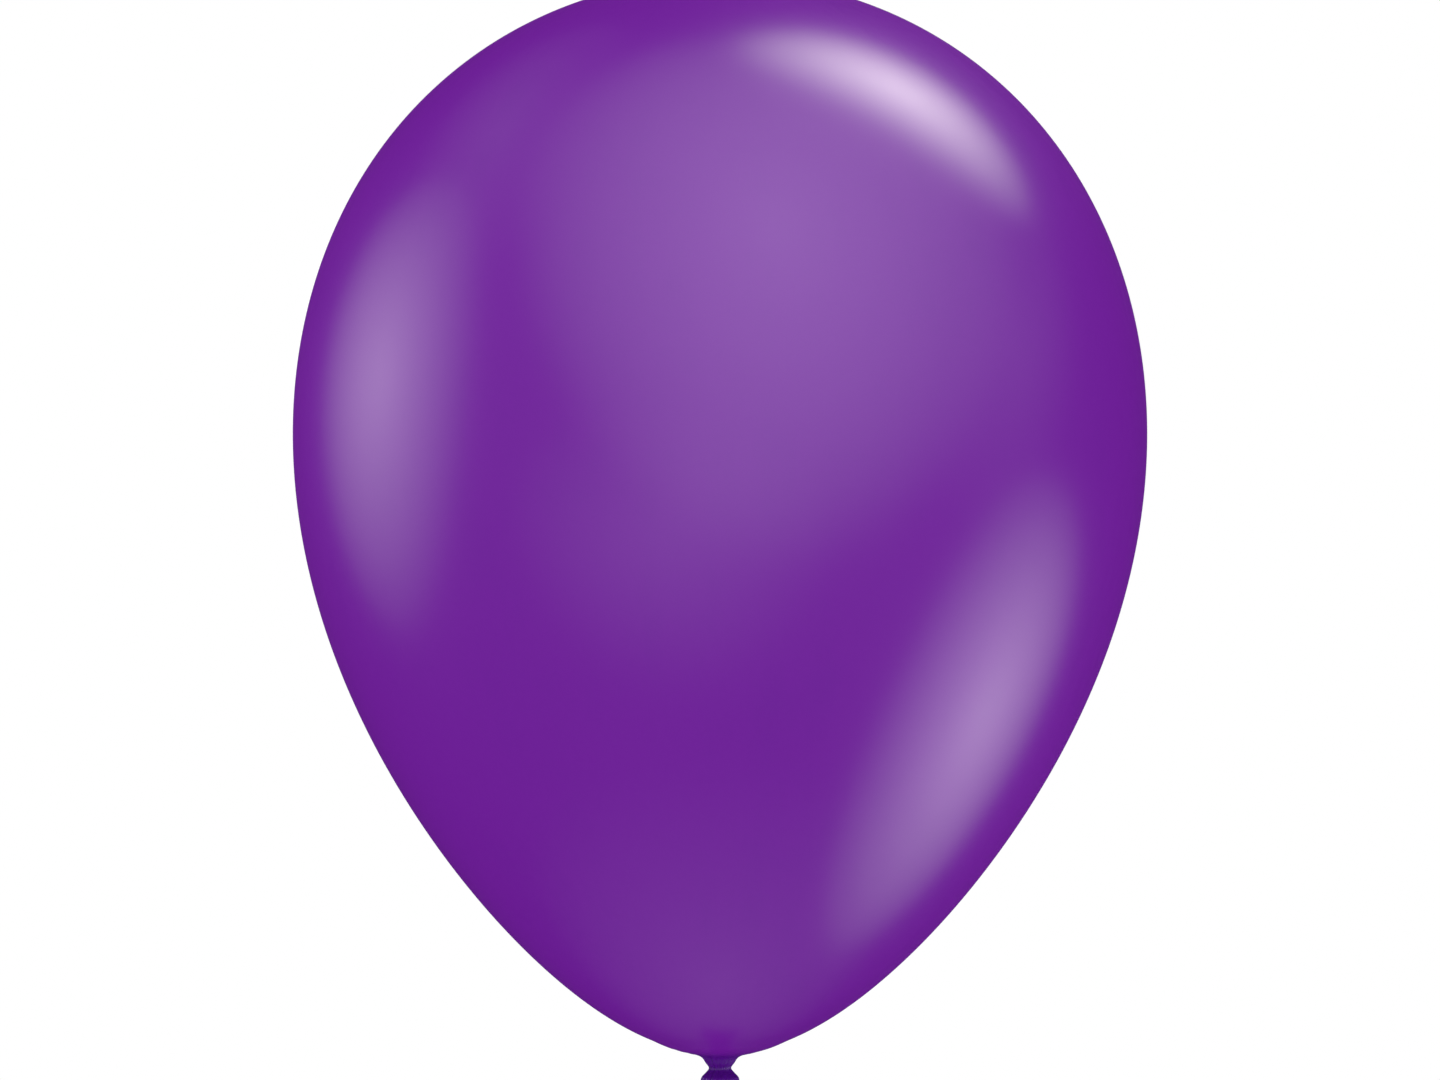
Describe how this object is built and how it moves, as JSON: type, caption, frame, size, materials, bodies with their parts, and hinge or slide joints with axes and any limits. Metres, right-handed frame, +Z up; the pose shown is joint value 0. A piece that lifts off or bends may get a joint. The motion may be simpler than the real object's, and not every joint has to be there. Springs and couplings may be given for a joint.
{
  "type": "latex balloon",
  "caption": "Round inflated latex party balloon, tied at the neck, with a flexing throat and a free tail below the knot.",
  "frame": {"origin": "middle of the throat, the waist between the neck and the knot that a ribbon or clip grips", "axes": "+Z up from the throat through the crown; X across the wide side of the flattened tail; Y front to back"},
  "size_m": [0.2799, 0.28, 0.3932],
  "materials": {
    "stretched_latex": "glossy, stretched thin, slightly see-through violet",
    "crown_latex": "glossy violet, less stretched and deeper in colour",
    "neck_latex": "satin violet with fine gathers",
    "knot_latex": "satin deep violet, tightly gathered",
    "tail_latex": "matt deep violet, not stretched"
  },
  "bodies": {
    "knot": {"knot_core": "knot_latex", "knot_wrap": "knot_latex"},
    "throat": {"throat": "knot_latex"},
    "neck": {"neck_funnel": "neck_latex"},
    "body": {"envelope": "stretched_latex", "crown_cap": "crown_latex"},
    "tail": {"tail_sleeve": "tail_latex", "mouth_lip": "tail_latex"}
  },
  "joints": [
    {"name": "neck_nod", "type": "hinge", "parent": "knot", "child": "throat", "pos_m": [0, 0, 0], "axis": [1, 0, 0], "range_deg": [-45, 45], "stiffness_Nm_per_rad": 0.03},
    {"name": "neck_sway", "type": "hinge", "parent": "throat", "child": "neck", "pos_m": [0, 0, 0], "axis": [0, 1, 0], "range_deg": [-45, 45], "stiffness_Nm_per_rad": 0.03},
    {"name": "neck_twist", "type": "hinge", "parent": "neck", "child": "body", "pos_m": [0, 0, 0], "axis": [0, 0, 1], "range_deg": [-90, 90], "stiffness_Nm_per_rad": 0.004},
    {"name": "tail_flap", "type": "hinge", "parent": "knot", "child": "tail", "pos_m": [0, 0, -0.012], "axis": [1, 0, 0], "range_deg": [-50, 50], "stiffness_Nm_per_rad": 0.00005}
  ]
}
